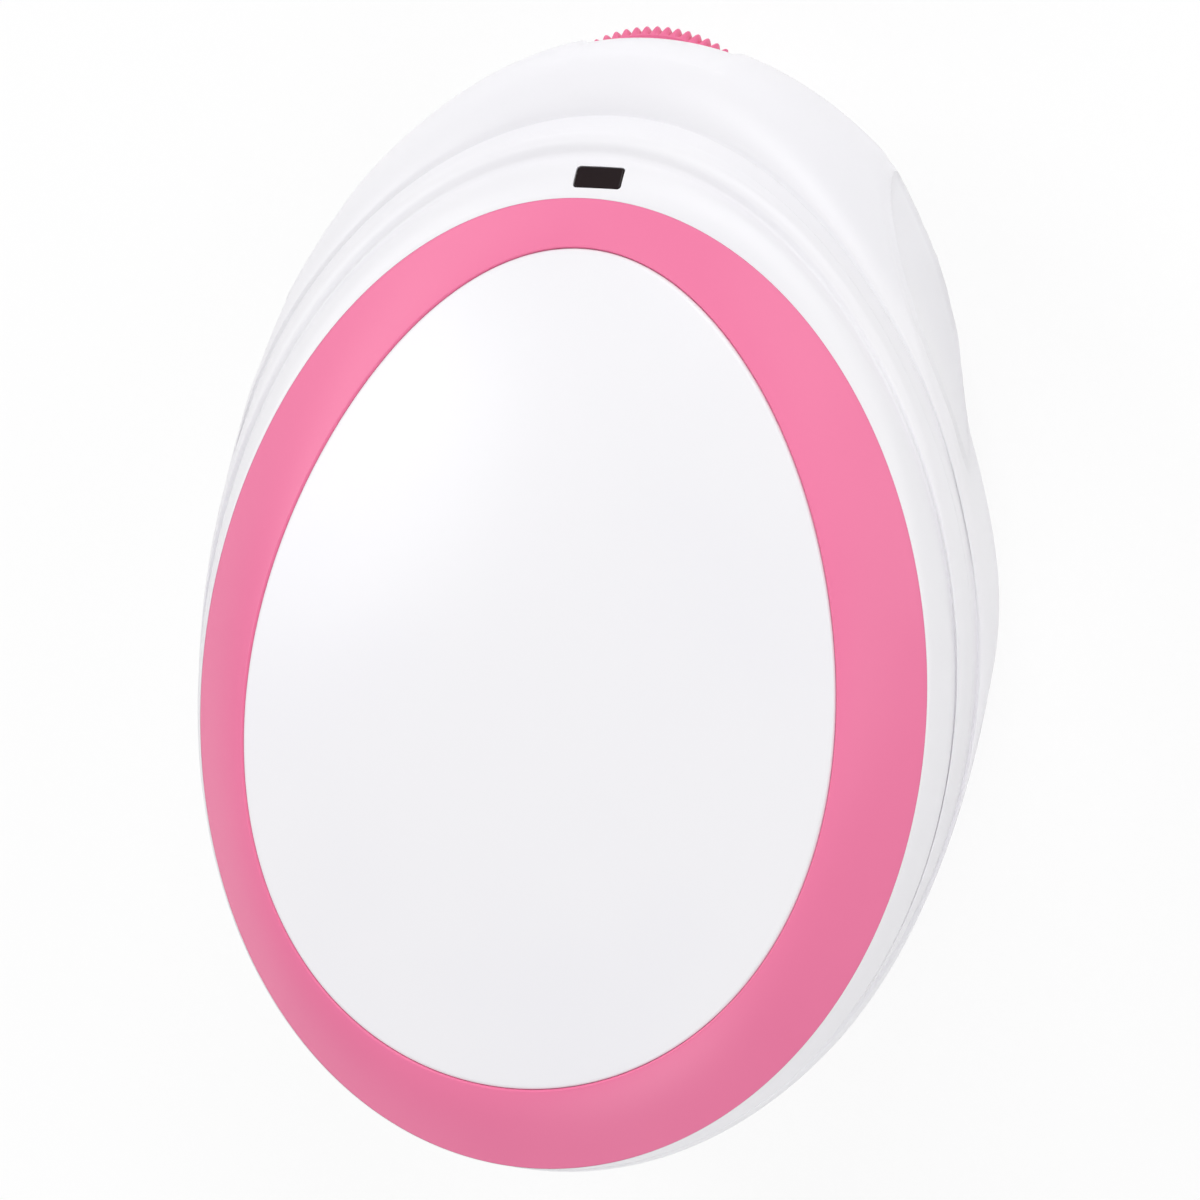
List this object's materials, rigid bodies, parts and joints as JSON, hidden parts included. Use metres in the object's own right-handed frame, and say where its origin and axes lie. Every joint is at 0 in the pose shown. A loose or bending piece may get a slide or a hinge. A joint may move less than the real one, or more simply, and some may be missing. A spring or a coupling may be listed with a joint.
{
  "type": "pocket fetal doppler",
  "caption": "Egg-shaped pocket fetal doppler: domed panel in a pink ring, knurled volume wheel, sliding battery door, round probe face and earphone sockets.",
  "frame": {"origin": "centre of the footprint on the surface that the part lies on, face up", "axes": "+Z out of the front panel, +Y towards the volume wheel at the narrow end, +X to the right as the panel is read"},
  "size_m": [0.0712, 0.0976, 0.0379],
  "materials": {
    "shell_white": "satin moulded",
    "panel_white": "smooth satin gloss",
    "accent_pink": "satin moulded",
    "wheel_pink": "satin moulded, knurled",
    "window_dark": "polished smoked",
    "clear_plastic": "clear polished",
    "lamp": "smooth",
    "steel": "zinc plated",
    "nickel": "nickel plated",
    "dark_plastic": "moulded",
    "board_green": "solder mask",
    "chip_black": "moulded epoxy",
    "tin": "tinned sheet",
    "can_blue": "shrink sleeve",
    "cell_sleeve": "plain shrink sleeve",
    "probe_plastic": "satin moulded",
    "seal_rubber": "smooth",
    "lens_silicone": "smooth silicone",
    "ceramic": "fired, silvered faces",
    "backing_epoxy": "cast epoxy",
    "lead_red": "insulated wire",
    "header_ivory": "moulded"
  },
  "bodies": {
    "root": {"front_shell": "shell_white", "accent_ring": "accent_pink", "front_panel": "panel_white", "indicator_lens": "window_dark", "light_pipe": "clear_plastic", "indicator_lamp": "lamp", "rear_shell": "shell_white", "pot_body": "dark_plastic", "main_board": "board_green", "microcontroller": "chip_black", "audio_amplifier": "chip_black", "shield_can": "tin", "capacitors": "can_blue", "timing_crystal": "tin", "earphone_jacks": "dark_plastic", "jack_collars": "nickel", "battery_cell_left": "cell_sleeve", "battery_cell_right": "cell_sleeve", "terminal_contacts": "nickel", "bridge_contact": "nickel", "contact_springs": "nickel", "probe_housing": "probe_plastic", "probe_seal": "seal_rubber", "acoustic_lens": "lens_silicone", "transmit_crystal": "ceramic", "receive_crystal": "ceramic", "backing_block": "backing_epoxy", "transducer_leads": "lead_red", "lead_header": "header_ivory", "case_screws": "steel", "board_screws": "steel"},
    "wheel": {"volume_wheel": "wheel_pink", "wheel_screw": "steel", "pot_rotor": "dark_plastic"},
    "door": {"battery_door": "shell_white"}
  },
  "joints": [
    {"name": "volume_turn", "type": "hinge", "parent": "root", "child": "wheel", "pos_m": [0, 0.03635, 0.0155], "axis": [0, 0, 1], "range_deg": [0, 290]},
    {"name": "door_slide", "type": "slide", "parent": "root", "child": "door", "axis": [0, 1, 0], "range_m": [0, 0.008]}
  ]
}
